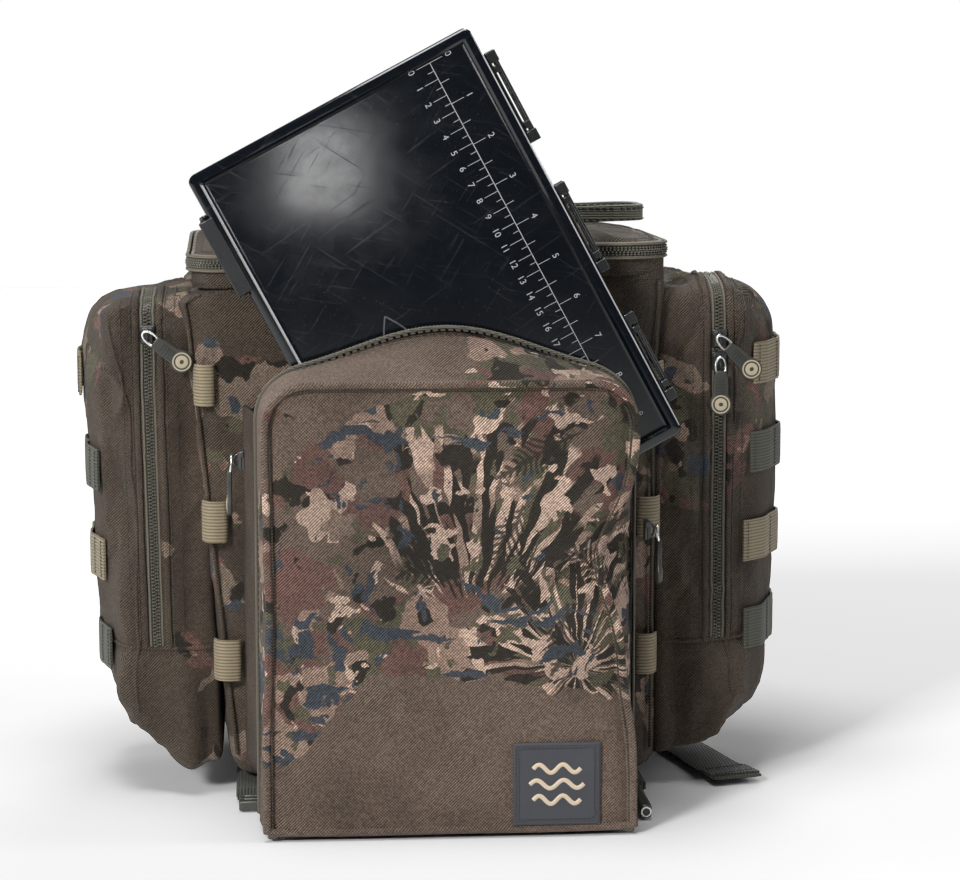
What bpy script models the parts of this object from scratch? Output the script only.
"""A tackle backpack: a boxy main bag with a zipped lid, two zipped side pockets with webbing
ladders, and a deep front pocket whose zipped front folds down, with a flat tackle box in it.

Metres, +Z up. The front faces -Y, the wearer's back is at +Y, and Z = 0 is the ground."""

import math

import bmesh
import bpy
from mathutils import Matrix, Vector

# ---------------------------------------------------------------- driving dimensions
GAP = 0.0003                    # between pieces that touch
WALL = 0.0025                   # padded fabric
WEBBING = 0.025                 # webbing width
WEB_THICK = 0.0016

BAG_HALF = 0.132                # main bag, half its width
BAG_FRONT, BAG_BACK = -0.082, 0.084
BAG_BOTTOM, BAG_TOP = 0.010, 0.3175
BAG_CORNER = 0.020

COLLAR_HALF = 0.137             # the lip that the lid closes on
LID_SHIFT = -0.003              # the lip and lid sag a little to one side
COLLAR_FRONT, COLLAR_BACK = -0.087, 0.0885
COLLAR_BOTTOM = 0.304
LID_BOTTOM, LID_EDGE = 0.3181, 0.328
ZIP_BAND = 0.006                # height of each half of a zip
ZIP_THICK = 0.0026
LID_ZIP_END = 0.070

POCKET_INNER = BAG_HALF + GAP   # side pockets
POCKET_FRONT, POCKET_BACK = -0.072, 0.052
POCKET_BOTTOM, POCKET_TOP = 0.024, 0.295
POCKET_OUTER = 0.188            # half width at the front, at the bottom
POCKET_FLARE_BACK, POCKET_FLARE_TOP = 0.014, 0.008
POCKET_EDGE = 0.016             # radius of the front top edge
SLOT_HALF = 0.0065              # zip slot
SLOT_BOTTOM = 0.086
SLOT_BACK = -0.020
SIDE_ZIP_X = 0.163

FRONT_FACE, FRONT_RIM = -0.178, -0.1314      # front pocket, along Y
FRONT_HALF, RIM_HALF = 0.1015, 0.105
FRONT_BOTTOM, FRONT_TOP = 0.0043, 0.2515
RIM_TOP, RIM_CROWN = 0.254, 0.024
FRONT_CORNER = 0.025
RIM_GAP = 0.0014                # between the two halves of the front pocket
GUSSET_BASE = 0.126             # rear gusset, half width where it meets the bag
GUSSET_BOTTOM = 0.0128
GUSSET_LEFT_TOP, GUSSET_RIGHT_TOP = (0.262, 0.228), (0.199, 0.185)

BOX_WIDTH, BOX_HEIGHT, BOX_DEPTH = 0.1773, 0.2574, 0.0345
BOX_TILT = math.radians(28.3)
BOX_CORNER = Vector((-0.0207, -0.0912, 0.1341))   # lowest corner, at the back face
TAIL_END = 0.18025
BOX_LID_DEPTH = 0.0105
BOX_WALL = 0.0024
BOX_CORNER_RADIUS = 0.005
HINGE_LENGTH = 0.056
HINGE_PLACES = (0.046, 0.1287, 0.2114)      # centres, measured from the top end
LATCH_LENGTH = 0.050
LATCH_PLACES = (0.048, 0.2094)

LEFT, RIGHT = -1, 1
SIDES = ((LEFT, "left"), (RIGHT, "right"))

COLOURS = {
    "camo_fabric": ((0.105, 0.083, 0.062), 0.9, 0.0),
    "brown_fabric": ((0.085, 0.068, 0.052), 0.9, 0.0),
    "lining": ((0.03, 0.03, 0.028), 0.95, 0.0),
    "tan_webbing": ((0.25, 0.21, 0.125), 0.85, 0.0),
    "olive_webbing": ((0.07, 0.075, 0.052), 0.85, 0.0),
    "zip": ((0.05, 0.052, 0.04), 0.55, 0.0),
    "slider_metal": ((0.02, 0.02, 0.02), 0.3, 1.0),
    "pull_rubber": ((0.045, 0.045, 0.035), 0.6, 0.0),
    "badge_rubber": ((0.03, 0.03, 0.033), 0.6, 0.0),
    "box_plastic": ((0.012, 0.012, 0.014), 0.35, 0.0),
    "box_window": ((0.01, 0.012, 0.016), 0.1, 0.0),
    "mesh_pad": ((0.02, 0.02, 0.018), 0.95, 0.0),
    "buckle_plastic": ((0.04, 0.042, 0.032), 0.5, 0.0),
}


# ---------------------------------------------------------------- making objects
def clear_scene():
    for obj in list(bpy.data.objects):
        bpy.data.objects.remove(obj, do_unlink=True)


def make_collection(name):
    made = bpy.data.collections.new(name)
    bpy.context.scene.collection.children.link(made)
    return made


def make_materials():
    made = {}
    for name, (colour, roughness, metallic) in COLOURS.items():
        mat = bpy.data.materials.new(name)
        mat.use_nodes = True
        shader = mat.node_tree.nodes["Principled BSDF"]
        shader.inputs["Base Color"].default_value = (*colour, 1.0)
        shader.inputs["Roughness"].default_value = roughness
        shader.inputs["Metallic"].default_value = metallic
        made[name] = mat
    return made


clear_scene()
PARTS = make_collection("tackle_backpack")
CUTTERS = make_collection("cutters")
MATERIALS = make_materials()


def add_object(name, data, material, parent=None):
    obj = bpy.data.objects.new(name, data)
    PARTS.objects.link(obj)
    data.materials.append(MATERIALS[material])
    if parent is not None:
        obj.parent = parent
    return obj


def add_empty(name, place, rotation=None):
    empty = bpy.data.objects.new(name, None)
    PARTS.objects.link(empty)
    empty.location = place
    if rotation is not None:
        empty.rotation_euler = rotation
    return empty


def mesh_from(bm, name):
    mesh = bpy.data.meshes.new(name)
    bm.normal_update()
    bmesh.ops.recalc_face_normals(bm, faces=bm.faces)
    bm.to_mesh(mesh)
    bm.free()
    return mesh


def smooth(obj, degrees=35):
    obj.data.shade_smooth()
    obj.data.set_sharp_from_angle(angle=math.radians(degrees))


def solidify(obj, thickness, offset=-1.0):
    mod = obj.modifiers.new("thickness", "SOLIDIFY")
    mod.thickness = thickness
    mod.offset = offset
    mod.use_even_offset = True
    return mod


def bevel(obj, width, segments=2, limit="ANGLE"):
    mod = obj.modifiers.new("edges", "BEVEL")
    mod.width = width
    mod.segments = segments
    mod.limit_method = limit
    mod.angle_limit = math.radians(40)
    return mod


def box_bm(low, high):
    """A cube between two corners, in a new bmesh."""
    bm = bmesh.new()
    bmesh.ops.create_cube(bm, size=1.0)
    low, high = Vector(low), Vector(high)
    middle, size = (low + high) / 2, high - low
    for vert in bm.verts:
        vert.co = Vector(c * s + m for c, s, m in zip(vert.co, size, middle))
    return bm


def add_box(name, low, high, material, edge=0.0, parent=None):
    obj = add_object(name, mesh_from(box_bm(low, high), name), material, parent)
    if edge:
        bevel(obj, edge)
    smooth(obj)
    return obj


def weigh_edges(bm, rule):
    """Gives each edge the bevel weight that the rule returns for its midpoint and direction."""
    layer = bm.edges.layers.float.new("bevel_weight_edge")
    for edge in bm.edges:
        a, b = edge.verts
        edge[layer] = rule((a.co + b.co) / 2, (b.co - a.co).normalized())


def strip_mesh(name, line_a, line_b, closed=False):
    """An open surface between two lines with as many points each."""
    bm = bmesh.new()
    row_a = [bm.verts.new(p) for p in line_a]
    row_b = [bm.verts.new(p) for p in line_b]
    last = len(row_a) if closed else len(row_a) - 1
    for i in range(last):
        j = (i + 1) % len(row_a)
        bm.faces.new((row_a[i], row_a[j], row_b[j], row_b[i]))
    mesh = bpy.data.meshes.new(name)
    bm.to_mesh(mesh)
    bm.free()
    return mesh


def add_strip(name, line_a, line_b, thickness, material, closed=False, parent=None):
    mesh = strip_mesh(name, line_a, line_b, closed)
    obj = add_object(name, mesh, material, parent)
    solidify(obj, thickness, offset=0.0)
    smooth(obj)
    return obj


def add_ribbon(name, path, across, thickness, material, parent=None):
    """A flat band along a path; across is half its width, as one vector or one per point."""
    if isinstance(across, Vector):
        across = [across] * len(path)
    line_a = [p - a for p, a in zip(path, across)]
    line_b = [p + a for p, a in zip(path, across)]
    return add_strip(name, line_a, line_b, thickness, material, parent=parent)


def smooth_path(points, per_span=4):
    """Points along a Catmull-Rom curve through the given ones."""
    points = [Vector(p) for p in points]
    ends = [2 * points[0] - points[1], *points, 2 * points[-1] - points[-2]]
    made = []
    for i in range(1, len(ends) - 2):
        p0, p1, p2, p3 = ends[i - 1:i + 3]
        for step in range(per_span):
            t = step / per_span
            made.append(0.5 * (2 * p1 + (p2 - p0) * t + (2 * p0 - 5 * p1 + 4 * p2 - p3) * t * t
                               + (3 * p1 - p0 - 3 * p2 + p3) * t ** 3))
    made.append(points[-1])
    return made


def rounded_corners(corners, radius, steps=4, closed=True):
    """The corners of a flat outline, (u, v) pairs, each replaced by an arc."""
    made = []
    count = len(corners)
    for i, corner in enumerate(corners):
        here = Vector(corner)
        if not closed and i in (0, count - 1):
            made.append(here)
            continue
        r = radius[i] if isinstance(radius, (list, tuple)) else radius
        before = (Vector(corners[i - 1]) - here).normalized()
        after = (Vector(corners[(i + 1) % count]) - here).normalized()
        half = before.angle(after) / 2
        reach = r / math.tan(half)
        centre = here + (before + after).normalized() * (r / math.sin(half))
        start, end = here + before * reach - centre, here + after * reach - centre
        turn = start.angle_signed(end)
        for step in range(steps + 1):
            made.append(centre + Matrix.Rotation(-turn * step / steps, 2) @ start)
    return made


def add_plate(name, outline, thickness, material, place=(0, 0, 0), rotation=(0, 0, 0), parent=None):
    """A flat outline in its own XY plane, of the given thickness about that plane."""
    curve = bpy.data.curves.new(name, "CURVE")
    curve.dimensions = "2D"
    curve.fill_mode = "BOTH"
    curve.extrude = thickness / 2
    spline = curve.splines.new("POLY")
    spline.points.add(len(outline) - 1)
    for point, (u, v) in zip(spline.points, outline):
        point.co = (u, v, 0, 1)
    spline.use_cyclic_u = True
    obj = add_object(name, curve, material, parent)
    obj.location = place
    obj.rotation_euler = rotation
    return obj


def add_tube(name, points, radius, material, closed=False, parent=None):
    curve = bpy.data.curves.new(name, "CURVE")
    curve.dimensions = "3D"
    curve.bevel_depth = radius
    curve.bevel_resolution = 2
    curve.use_fill_caps = not closed
    spline = curve.splines.new("POLY")
    spline.points.add(len(points) - 1)
    for point, place in zip(spline.points, points):
        point.co = (*place, 1)
    spline.use_cyclic_u = closed
    return add_object(name, curve, material, parent)


def cut(obj, name, low, high):
    """Cuts a box out of an object."""
    cutter = bpy.data.objects.new(name, mesh_from(box_bm(low, high), name))
    CUTTERS.objects.link(cutter)
    cutter.hide_render = True
    cutter.display_type = "WIRE"
    mod = obj.modifiers.new(name, "BOOLEAN")
    mod.operation = "DIFFERENCE"
    mod.object = cutter


def inner_levels(levels, wall):
    """The (inset, height) rings of a shell's inside, so that every face has its twin behind it."""
    inwards = -1 if levels[-1][1] > levels[0][1] else 1
    normals = []
    for (a, h), (b, k) in zip(levels, levels[1:]):
        normal = Vector((abs(k - h), inwards * (b - a)))
        normals.append(normal.normalized())
    normals.append(Vector((0, inwards)))
    made = [(levels[0][0] + wall, levels[0][1])]
    for (inset, height), before, after in zip(levels[1:], normals, normals[1:]):
        shift = (before + after) * (wall / (1 + before.dot(after)))
        made.append((inset + shift.x, height + shift.y))
    return made


def rounded_shell(name, corners, radius, levels, wall, material, upright=True, parent=None):
    """An open tray of a rounded rectangle: levels are (inset, height) rings, from its mouth to
    its closed end. Its height runs along Z, or along Y where it isn't upright."""
    (u0, v0), (u1, v1) = corners
    bm = bmesh.new()
    sides = []
    for rings in (levels, inner_levels(levels, wall)):
        rows = []
        for inset, height in rings:
            outline = ((u0 + inset, v0 + inset), (u1 - inset, v0 + inset),
                       (u1 - inset, v1 - inset), (u0 + inset, v1 - inset))
            ring = rounded_corners(outline, radius - inset)
            rows.append([bm.verts.new((u, v, height) if upright else (u, height, v))
                         for u, v in ring])
        sides.append(rows)
        bm.faces.new(rows[-1])
    outer, inner = sides
    for a, b in [*zip(outer, outer[1:]), *zip(inner, inner[1:]), (outer[0], inner[0])]:
        for i in range(len(a)):
            j = (i + 1) % len(a)
            bm.faces.new((a[i], a[j], b[j], b[i]))
    obj = add_object(name, mesh_from(bm, name), material, parent)
    smooth(obj)
    return obj


# ---------------------------------------------------------------- main bag and lid
def main_bag():
    rise = BAG_BOTTOM
    levels = ((0.0, BAG_TOP), (0.0, rise + 0.010), (0.0015, rise + 0.005),
              (0.005, rise + 0.0015), (0.010, rise))
    corners = ((-BAG_HALF, BAG_FRONT), (BAG_HALF, BAG_BACK))
    rounded_shell("main_bag", corners, BAG_CORNER, levels, WALL, "camo_fabric")


def ring_outline(half, front, back, radius, shift=0.0):
    left, right = shift - half, shift + half
    corners = ((left, front), (right, front), (right, back), (left, back))
    return rounded_corners(corners, radius)


def lid_collar():
    inner = ring_outline(BAG_HALF + GAP, BAG_FRONT - GAP, BAG_BACK + GAP, BAG_CORNER)
    outer = ring_outline(COLLAR_HALF, COLLAR_FRONT, COLLAR_BACK, BAG_CORNER + 0.004, LID_SHIFT)
    bm = bmesh.new()
    rows = [[bm.verts.new((u, v, z)) for u, v in ring]
            for ring, z in ((inner, COLLAR_BOTTOM), (outer, COLLAR_BOTTOM),
                            (outer, BAG_TOP), (inner, BAG_TOP))]
    for a, b in zip(rows, rows[1:] + rows[:1]):
        for i in range(len(a)):
            j = (i + 1) % len(a)
            bm.faces.new((a[i], a[j], b[j], b[i]))
    obj = add_object("lid_collar", mesh_from(bm, "lid_collar"), "brown_fabric")
    smooth(obj)


def zip_around(name, z_low, material="zip"):
    """Half of the lid's zip: a band round the front, the sides and the back's two corners."""
    reach = ZIP_THICK / 2 + GAP
    half, front = COLLAR_HALF + reach, COLLAR_FRONT - reach
    back, end = COLLAR_BACK + reach, LID_ZIP_END
    corners = ((-end, back), (-half, back), (-half, front), (half, front), (half, back), (end, back))
    path = rounded_corners(corners, BAG_CORNER + 0.004 + reach, 4, closed=False)
    low = [Vector((u + LID_SHIFT, v, z_low)) for u, v in path]
    high = [p + Vector((0, 0, ZIP_BAND)) for p in low]
    add_strip(name, low, high, ZIP_THICK, material)


def lid_panel():
    levels = ((0.0, LID_BOTTOM), (0.0, LID_EDGE - 0.003), (0.0009, LID_EDGE - 0.0009),
              (0.003, LID_EDGE))
    corners = ((LID_SHIFT - COLLAR_HALF, COLLAR_FRONT), (LID_SHIFT + COLLAR_HALF, COLLAR_BACK - GAP))
    rounded_shell("lid_panel", corners, BAG_CORNER + 0.004, levels, WALL, "camo_fabric")


def add_pad(name, bm, material, edge, segments=2):
    obj = add_object(name, mesh_from(bm, name), material)
    bevel(obj, edge, segments)
    smooth(obj)
    return obj


def carry_handle():
    """Folded webbing in a long flat loop on the back of the lid; its back strand is the hinge."""
    half, front, back = 0.131, 0.018, 0.070
    height = 0.0115
    low = LID_EDGE + 0.0015
    corners = ((-half, front), (half, front), (half, back), (-half, back))
    path = rounded_corners(corners, 0.014, 4)
    line_a = [Vector((u, v, low)) for u, v in path]
    line_b = [p + Vector((0, 0, height)) for p in line_a]
    add_strip("carry_handle", line_a, line_b, 0.004, "olive_webbing", closed=True)


# ---------------------------------------------------------------- side pockets
def pocket_outer_x(y, z):
    """How far the outer face is from the middle plane, at a depth and a height."""
    back_share = (y - POCKET_FRONT) / (POCKET_BACK - POCKET_FRONT)
    top_share = (z - POCKET_BOTTOM) / (POCKET_TOP - POCKET_BOTTOM)
    return POCKET_OUTER + POCKET_FLARE_BACK * back_share + POCKET_FLARE_TOP * top_share


def side_pocket(side, word):
    bm = box_bm((POCKET_INNER, POCKET_FRONT, POCKET_BOTTOM), (0.2, POCKET_BACK, POCKET_TOP))
    for vert in bm.verts:
        if vert.co.x > POCKET_INNER + 0.001:
            vert.co.x = pocket_outer_x(vert.co.y, vert.co.z)
    widest = 0.032

    def weight(middle, direction):
        outer = middle.x > 0.17
        top, bottom = middle.z > POCKET_TOP - 0.01, middle.z < POCKET_BOTTOM + 0.01
        front = middle.y < POCKET_FRONT + 0.01
        if outer and bottom:
            return 1.0
        if outer and top:
            return 0.55
        if front and top:
            return POCKET_EDGE / widest
        return 0.4 if outer or (front and bottom) else 0.2

    weigh_edges(bm, weight)
    for vert in bm.verts:
        vert.co.x *= side
    name = f"side_pocket_{word}"
    obj = add_object(name, mesh_from(bm, name), "camo_fabric")
    bevel(obj, widest, 4, "WEIGHT")
    solidify(obj, WALL)
    x = side * SIDE_ZIP_X
    reach = 0.02
    front_low = (x - SLOT_HALF, POCKET_FRONT - reach, SLOT_BOTTOM)
    front_high = (x + SLOT_HALF, POCKET_FRONT + 0.006, POCKET_TOP + reach)
    cut(obj, f"slot_front_{word}", front_low, front_high)
    top_low = (x - SLOT_HALF, POCKET_FRONT - reach, POCKET_TOP - 0.010)
    top_high = (x + SLOT_HALF, SLOT_BACK, POCKET_TOP + reach)
    cut(obj, f"slot_top_{word}", top_low, top_high)
    smooth(obj)


def side_zip(side, word):
    depth = WALL / 2
    corners = ((POCKET_FRONT + depth, SLOT_BOTTOM + GAP), (POCKET_FRONT + depth, POCKET_TOP - depth),
               (SLOT_BACK - GAP, POCKET_TOP - depth))
    route = rounded_corners(corners, POCKET_EDGE - depth, 6, closed=False)
    path = [Vector((side * SIDE_ZIP_X, v, w)) for v, w in route]
    across = Vector((SLOT_HALF - GAP, 0, 0))
    add_ribbon(f"side_zip_{word}", path, across, WALL - 2 * GAP, "zip")


def molle_ladder(side, word):
    """Four webbing rungs on one backing, sewn to a side pocket's outer face."""
    rungs = (0.087, 0.140, 0.193, 0.246)
    backing, rise = 0.0008, 0.0022
    low, high = rungs[0] - 0.018, rungs[-1] + 0.018
    profile = [(low, 0.0), (high, 0.0), (high, backing)]
    for rung in reversed(rungs):
        top, bottom = rung + WEBBING / 2, rung - WEBBING / 2
        profile += [(top, backing), (top, rise), (bottom, rise), (bottom, backing)]
    profile.append((low, backing))
    front, back = POCKET_FRONT + 0.014, POCKET_BACK - 0.010
    bm = bmesh.new()
    ends = []
    for y in (front, back):
        ends.append([bm.verts.new((side * (pocket_outer_x(y, z) + 2 * GAP + t), y, z))
                     for z, t in profile])
    bm.faces.new(ends[0])
    bm.faces.new(ends[1])
    for i in range(len(profile)):
        j = (i + 1) % len(profile)
        bm.faces.new((ends[0][i], ends[0][j], ends[1][j], ends[1][i]))
    name = f"molle_ladder_{word}"
    add_object(name, mesh_from(bm, name), "olive_webbing")


def webbing_tabs(side, word):
    """Short tan loops between a side pocket's front edge and the front pocket's gusset."""
    for number, z in enumerate((0.082, 0.163, 0.242), 1):
        covered = side == RIGHT and number == 3
        end = (0.1268, -0.0870) if covered else (0.1218, -0.0965)
        route = ((0.1385, -0.0737), (0.1335, -0.0742), (0.1290, -0.0815), end)
        path = [Vector((side * u, v, z)) for u, v in route]
        across = Vector((0, 0, WEBBING / 2))
        add_ribbon(f"webbing_tab_{word}_{number}", path, across, WEB_THICK, "tan_webbing")


# ---------------------------------------------------------------- front pocket
def pocket_outline(half, top, radius, crown=0.0):
    """Up the left side, over the top and down the right, as (x, z) points."""
    corners = ((-half, FRONT_BOTTOM), (-half, top), (half, top), (half, FRONT_BOTTOM))
    arcs = rounded_corners(corners, radius, 5, closed=False)
    left, right = arcs[:7], arcs[7:]
    span = half - radius
    middle = [Vector((span * share, top)) for share in (-0.66, -0.33, 0.0, 0.33, 0.66)]
    line = [*left, *middle, *right]
    for point in line:
        rise = max(0.0, (point.y - (top - radius)) / radius)
        point.y += crown * rise * math.cos(point.x / half * math.pi / 2) ** 2
    return line


def rim_line(outset=0.0):
    return pocket_outline(RIM_HALF + outset, RIM_TOP + outset, FRONT_CORNER + outset, RIM_CROWN)


def front_pocket():
    """The folding front: its face and the front half of its gusset, open at the back and below."""
    levels = ((0.005, 0.0, 0.0), (0.0015, 0.0015, 0.0), (0.0, 0.006, 0.0))
    rings = []
    for inset, back, _ in levels:
        line = pocket_outline(FRONT_HALF - inset, FRONT_TOP - inset, FRONT_CORNER - inset)
        rings.append([Vector((p.x, FRONT_FACE + back, p.y)) for p in line])
    rings.append([Vector((p.x, FRONT_RIM, p.y)) for p in rim_line()])
    bm = bmesh.new()
    rows = [[bm.verts.new(p) for p in ring] for ring in rings]
    bm.faces.new(rows[0])
    for a, b in zip(rows, rows[1:]):
        for i in range(len(a) - 1):
            bm.faces.new((a[i], a[i + 1], b[i + 1], b[i]))
    obj = add_object("front_pocket", mesh_from(bm, "front_pocket"), "camo_fabric")
    solidify(obj, WALL)
    smooth(obj)


def front_piping():
    inset, radius = 0.0015, 0.0018
    reach = (radius + GAP) * math.sqrt(0.5) + 0.0004
    line = pocket_outline(FRONT_HALF - inset + reach, FRONT_TOP - inset + reach, FRONT_CORNER)
    points = [Vector((p.x, FRONT_FACE + inset - reach, p.y)) for p in line]
    add_tube("front_piping", points, radius, "brown_fabric")


def front_badge():
    width, height, thick = 0.0485, 0.0465, 0.002
    corners = [(-width / 2, -height / 2), (width / 2, -height / 2),
               (width / 2, height / 2), (-width / 2, height / 2)]
    place = (0.058, FRONT_FACE - GAP - thick / 2, 0.0295)
    add_plate("front_badge", rounded_corners(corners, 0.002, 3), thick, "badge_rubber",
              place, (math.pi / 2, 0, 0))


def front_zip_front():
    """The zip half that is sewn round the folding front's rim."""
    line = rim_line(ZIP_THICK / 2 + GAP)
    line_a = [Vector((p.x, FRONT_RIM, p.y)) for p in line]
    line_b = [p - Vector((0, ZIP_BAND, 0)) for p in line_a]
    add_strip("front_zip_front", line_a, line_b, ZIP_THICK, "zip")


def gusset_lines():
    """The rear gusset's edge at the bag and its free edge, from upper left to upper right."""
    radius = 0.014
    base = [(-GUSSET_BASE, GUSSET_LEFT_TOP[0]), (-GUSSET_BASE, GUSSET_BOTTOM),
            (GUSSET_BASE, GUSSET_BOTTOM), (GUSSET_BASE, GUSSET_RIGHT_TOP[0])]
    rim = [(-RIM_HALF, GUSSET_LEFT_TOP[1]), (-RIM_HALF, GUSSET_BOTTOM),
           (RIM_HALF, GUSSET_BOTTOM), (RIM_HALF, GUSSET_RIGHT_TOP[1])]
    base_line = rounded_corners(base, radius, 4, closed=False)
    rim_points = rounded_corners(rim, radius, 4, closed=False)
    base_y, rim_y = BAG_FRONT - GAP, FRONT_RIM + RIM_GAP
    return ([Vector((u, base_y, w)) for u, w in base_line],
            [Vector((u, rim_y, w)) for u, w in rim_points])


def pocket_rear_gusset():
    base, rim = gusset_lines()
    obj = add_strip("pocket_rear_gusset", base, rim, WALL, "brown_fabric")
    obj.modifiers["thickness"].offset = -1.0


def front_zip_rear(side, word):
    """The other zip half, on the outside of the rear gusset's free edge."""
    top = GUSSET_LEFT_TOP[1] if side == LEFT else GUSSET_RIGHT_TOP[1]
    slope = (GUSSET_BASE - RIM_HALF) / (FRONT_RIM - BAG_FRONT)
    out = ZIP_THICK / 2 + 0.0008
    lines = []
    for back in (RIM_GAP, RIM_GAP + ZIP_BAND):
        x = RIM_HALF - slope * back + out
        lines.append([Vector((side * x, FRONT_RIM + back, z)) for z in (0.028, 0.1, top - 0.002)])
    add_strip(f"front_zip_rear_{word}", *lines, ZIP_THICK, "zip")


def pocket_floor():
    """The bottom of the front pocket, which stays on the ground when the front folds down."""
    low, high = 0.0010, 0.0035
    add_box("pocket_floor", (-0.094, -0.1745, low), (0.094, -0.088, high), "brown_fabric", 0.0008)


# ---------------------------------------------------------------- back and base
def back_pad():
    pad = box_bm((-0.098, BAG_BACK + GAP, 0.046), (0.098, BAG_BACK + 0.016, 0.300))
    add_pad("back_pad", pad, "mesh_pad", 0.006, 3)


def shoulder_strap(side, word):
    route = ((0.046, 0.1068, 0.293), (0.049, 0.117, 0.283), (0.058, 0.130, 0.252),
             (0.070, 0.135, 0.205), (0.082, 0.131, 0.155), (0.091, 0.121, 0.112))
    path = smooth_path([(side * x, y, z) for x, y, z in route], 3)
    last = len(path) - 1
    widths = [0.029 - 0.011 * max(0.0, i / last - 0.6) / 0.4 for i in range(last + 1)]
    across = [Vector((w, 0, 0)) for w in widths]
    add_ribbon(f"shoulder_strap_{word}", path, across, 0.009, "mesh_pad")


def strap_buckle(side, word):
    """A ladder lock: a flat frame with two slots."""
    middle = Vector((side * 0.0935, 0.1165, 0.0965))
    size = Vector((0.033, 0.005, 0.026))
    bm = box_bm(-size / 2, size / 2)
    obj = add_object(f"strap_buckle_{word}", mesh_from(bm, f"strap_buckle_{word}"), "buckle_plastic")
    obj.location = middle
    for number, z in enumerate((-0.0045, 0.0055)):
        low = (middle.x - 0.013, middle.y - 0.01, middle.z + z - 0.0022)
        high = (middle.x + 0.013, middle.y + 0.01, middle.z + z + 0.0022)
        cut(obj, f"buckle_slot_{word}_{number}", low, high)


def strap_webbing(side, word):
    """Webbing from the bag's lower corner up to the buckle."""
    route = ((0.113, 0.0872, 0.030), (0.1125, 0.0935, 0.042), (0.107, 0.1055, 0.062),
             (0.0985, 0.1140, 0.0810))
    path = smooth_path([(side * x, y, z) for x, y, z in route], 3)
    add_ribbon(f"strap_webbing_{word}", path, Vector((WEBBING / 2, 0, 0)), WEB_THICK, "olive_webbing")


def strap_tail(side, word):
    """The buckle's free end: the right one lies on the ground, out past the side pocket."""
    half = WEBBING / 2
    if side == RIGHT:
        route = ((0.0975, 0.1215, 0.094), (0.103, 0.126, 0.060), (0.112, 0.126, 0.022),
                 (0.124, 0.108, 0.0045), (0.142, 0.064, 0.0022), (0.158, 0.010, 0.0022),
                 (0.169, -0.040, 0.0026), (0.1770, -0.077, 0.0045))
        turns = (0, 0, 8, 20, 17, 15, 20, 23)
    else:
        route = ((0.0975, 0.1215, 0.094), (0.102, 0.126, 0.062), (0.106, 0.129, 0.030),
                 (0.108, 0.139, 0.0060), (0.108, TAIL_END, 0.0022))
        turns = (0, 0, 0, 0, 0)
    path = smooth_path([(side * x, y, z) for x, y, z in route], 3)
    headings = smooth_path([(math.radians(t), 0, 0) for t in turns], 3)
    last = len(path) - 1
    spread = [half + 0.003 * (i / last) for i in range(last + 1)]
    across = [Vector((w * math.cos(h.x), w * math.sin(h.x), 0)) for w, h in zip(spread, headings)]
    add_ribbon(f"strap_tail_{word}", path, across, WEB_THICK, "olive_webbing")


def base_strap(side, word):
    """Folded lash webbing under the bag, which stands on it."""
    low = (side * 0.107 - WEBBING / 2, -0.0980, 0.0)
    high = (side * 0.107 + WEBBING / 2, 0.060, BAG_BOTTOM - 2 * GAP)
    add_box(f"base_strap_{word}", low, high, "olive_webbing", 0.003)


def base_fittings():
    """A small buckle at the front left and a small clip at the front right."""
    add_box("base_buckle", (-0.1175, -0.1160, 0.0006), (-0.0965, -0.0990, 0.0062), "buckle_plastic", 0.0012)
    add_box("base_clip", (0.1085, -0.150, 0.0006), (0.1155, -0.1000, 0.0085), "buckle_plastic", 0.0015)


# ---------------------------------------------------------------- sliders and their pulls
SLIDER_LENGTH, SLIDER_WIDTH, SLIDER_HEIGHT, SLIDER_BRIDGE = 0.012, 0.010, 0.0042, 0.0064
PULL_STAND = SLIDER_BRIDGE + 0.0024      # from the zip's surface to the pull's mid-plane
PULL_LENGTH, PULL_NECK, PULL_DISC, PULL_THICK = 0.031, 0.0032, 0.0064, 0.0030


def frame_at(name, place, outward, along):
    """An empty whose +Z looks out of the zip and whose +Y points along it."""
    outward, along = Vector(outward).normalized(), Vector(along).normalized()
    across = along.cross(outward)
    empty = add_empty(name, place)
    rotation = Matrix((across, along, outward)).transposed()
    empty.rotation_euler = rotation.to_euler()
    return empty


def add_slider(name, place, outward, along, pull_along=None):
    """A zip slider, and its pull, which lies flat and points away from the heading pull_along."""
    parent = frame_at(f"{name}_frame", place, outward, along)
    low, high, half = SLIDER_HEIGHT, SLIDER_BRIDGE, SLIDER_LENGTH / 2
    profile = [(-half, 0), (half, 0), (half, low), (0.004, low), (0.003, high),
               (-0.003, high), (-0.004, low), (-half, low)]
    add_plate(name, profile, SLIDER_WIDTH, "slider_metal",
              (0, 0, 0), (math.pi / 2, 0, math.pi / 2), parent)
    heading = Vector(pull_along or along)
    pull_frame = frame_at(f"{name}_pull_frame", Vector(place) + Vector(outward).normalized() * PULL_STAND,
                          outward, heading)
    end = PULL_LENGTH - PULL_DISC
    outline = [(-PULL_NECK, 0.0015), (-PULL_NECK, -0.004), (-0.0042, -0.008),
               (-0.0046, -end + 0.0055)]
    for step in range(9):
        angle = math.radians(150 + step * 30)
        outline.append((PULL_DISC * math.cos(angle), -end + PULL_DISC * math.sin(angle)))
    outline += [(-u, v) for u, v in reversed(outline[:4])]
    add_plate(name.replace("slider", "pull"), outline, PULL_THICK, "pull_rubber", parent=pull_frame)


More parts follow.
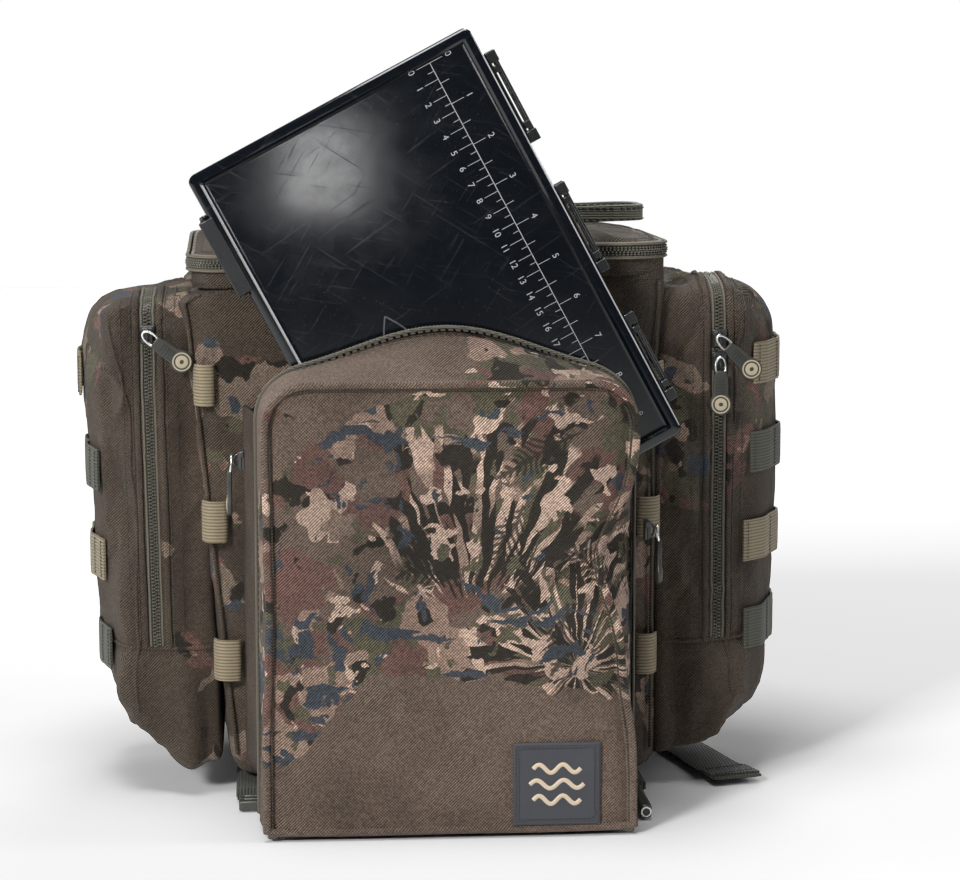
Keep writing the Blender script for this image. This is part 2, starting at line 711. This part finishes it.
def all_sliders():
    side_y = POCKET_FRONT - GAP
    x = SIDE_ZIP_X
    add_slider("side_slider_right_upper", (x, side_y, 0.2655), (0, -1, 0), (0, 0, 1), (-0.72, 0, 0.69))
    add_slider("side_slider_right_lower", (x, side_y, 0.2525), (0, -1, 0), (0, 0, 1))
    add_slider("side_slider_left", (-x, side_y, 0.2700), (0, -1, 0), (0, 0, 1), (-0.80, 0, 0.60))
    rim_x = RIM_HALF + 0.0068
    add_slider("front_slider_left", (-rim_x, FRONT_RIM, 0.205), (-1, 0, 0), (0, 0, 1))
    add_slider("front_slider_right", (rim_x, FRONT_RIM, 0.163), (1, 0, 0), (0, 0, 1))
    lid_y = COLLAR_BACK + 2 * GAP + ZIP_THICK
    for side, word in SIDES:
        place = (LID_SHIFT + side * (LID_ZIP_END + 0.008), lid_y, (BAG_TOP + LID_BOTTOM) / 2)
        add_slider(f"lid_slider_{word}", place, (0, 1, 0), (side, 0, 0))


# ---------------------------------------------------------------- tackle box
def box_frame():
    """The box's own frame: X along its short side, Z along its long side, -Y out of its lid."""
    return add_empty("tackle_box_frame", BOX_CORNER, (0, -BOX_TILT, 0))


def box_shell(name, y_mouth, y_end, material, parent):
    levels = ((0.0, y_mouth), (0.0, y_end))
    corners = ((0.0, 0.0), (BOX_WIDTH, BOX_HEIGHT))
    rounded_shell(name, corners, BOX_CORNER_RADIUS, levels, BOX_WALL, material, False, parent)


def tackle_box(parent):
    split = -(BOX_DEPTH - BOX_LID_DEPTH)
    box_shell("tackle_box_tray", split + GAP, 0.0, "box_plastic", parent)
    box_shell("tackle_box_lid", split, -BOX_DEPTH, "box_window", parent)
    for number, place in enumerate(HINGE_PLACES, 1):
        box_hinge(number, BOX_HEIGHT - place, split, parent)
    for word, place in zip(("upper", "lower"), LATCH_PLACES):
        box_latch(word, BOX_HEIGHT - place, parent)


def box_hinge(number, z, split, parent):
    """Two knuckles and the bar between them, seen along Y."""
    half, block, reach = HINGE_LENGTH / 2, 0.007, 0.0068
    x0, x1 = BOX_WIDTH + GAP, BOX_WIDTH + reach
    inner = BOX_WIDTH + 0.0022
    outline = [(x0, z - half), (x1, z - half), (x1, z - half + block), (x1 - 0.0015, z - half + block),
               (x1 - 0.0015, z + half - block), (x1, z + half - block), (x1, z + half), (x0, z + half),
               (x0, z + half - block), (inner, z + half - block), (inner, z - half + block),
               (x0, z - half + block)]
    add_plate(f"tackle_box_hinge_{number}", outline, 0.012, "box_plastic",
              (0, split, 0), (math.pi / 2, 0, 0), parent)


def box_latch(word, z, parent):
    """A lever on the tray's side, with a lip that hooks over the lid's edge."""
    back, front, reach, thick = -0.006, -BOX_DEPTH - 0.0004, 0.0058, 0.0024
    foot = -0.0012
    profile = [(foot, back), (-reach, back), (-reach, front - thick), (0.003, front - thick),
               (0.003, front), (-reach + thick, front), (-reach + thick, back - 0.004),
               (foot, back - 0.004)]
    add_plate(f"tackle_box_latch_{word}", profile, LATCH_LENGTH, "box_plastic",
              (0, 0, z), (0, 0, 0), parent)


# ---------------------------------------------------------------- build
def build():
    main_bag()
    lid_collar()
    lid_panel()
    zip_around("lid_zip_lower", BAG_TOP - ZIP_BAND - GAP)
    zip_around("lid_zip_upper", LID_BOTTOM + GAP)
    carry_handle()
    front_pocket()
    front_piping()
    front_badge()
    front_zip_front()
    pocket_rear_gusset()
    pocket_floor()
    back_pad()
    for side, word in SIDES:
        side_pocket(side, word)
        side_zip(side, word)
        molle_ladder(side, word)
        webbing_tabs(side, word)
        front_zip_rear(side, word)
        shoulder_strap(side, word)
        strap_buckle(side, word)
        strap_webbing(side, word)
        strap_tail(side, word)
        base_strap(side, word)
    base_fittings()
    all_sliders()
    tackle_box(box_frame())


build()
